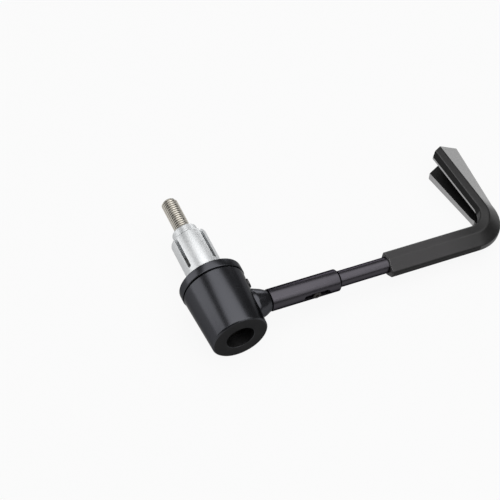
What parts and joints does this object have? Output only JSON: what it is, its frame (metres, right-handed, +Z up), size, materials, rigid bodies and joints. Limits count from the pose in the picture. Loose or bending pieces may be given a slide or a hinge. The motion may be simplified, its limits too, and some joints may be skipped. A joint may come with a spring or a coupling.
{
  "type": "brake lever guard",
  "caption": "Handlebar-end brake lever guard: a clamp-in bar end with a slotted expander sleeve and bolt, and a sliding tube arm that carries a bent nylon guard blade with an inner channel.",
  "frame": {"origin": "on the handlebar's axis, in the end plane of the ring that meets the grip, where the expander sleeve starts", "axes": "+Y along the expander sleeve, into the handlebar; +X along the guard's arm, from the bar end to the blade; +Z up, as the guard lies in the picture"},
  "size_m": [0.1729, 0.0839, 0.031],
  "materials": {
    "black_anodised": "black anodised, satin",
    "black_steel": "black oxide",
    "bright_alloy": "bright turned",
    "stainless": "plain stainless",
    "black_nylon": "moulded, matt"
  },
  "bodies": {
    "bar_end": {"bar_end_body": "black_anodised", "end_ring": "black_anodised", "seat_hub": "black_steel", "expander_sleeve": "bright_alloy", "wedge_nut": "bright_alloy", "clamp_bolt": "stainless", "head_washer": "stainless", "body_lock_screw": "black_steel", "arm_root": "black_anodised", "arm_barrel": "black_anodised"},
    "guard_arm": {"slide_tube": "black_anodised", "adjust_screw": "black_steel", "guard_blade": "black_nylon"}
  },
  "joints": [
    {"name": "guard_slide", "type": "slide", "parent": "bar_end", "child": "guard_arm", "axis": [1, 0, 0], "range_m": [-0.0045, 0.0045]}
  ]
}
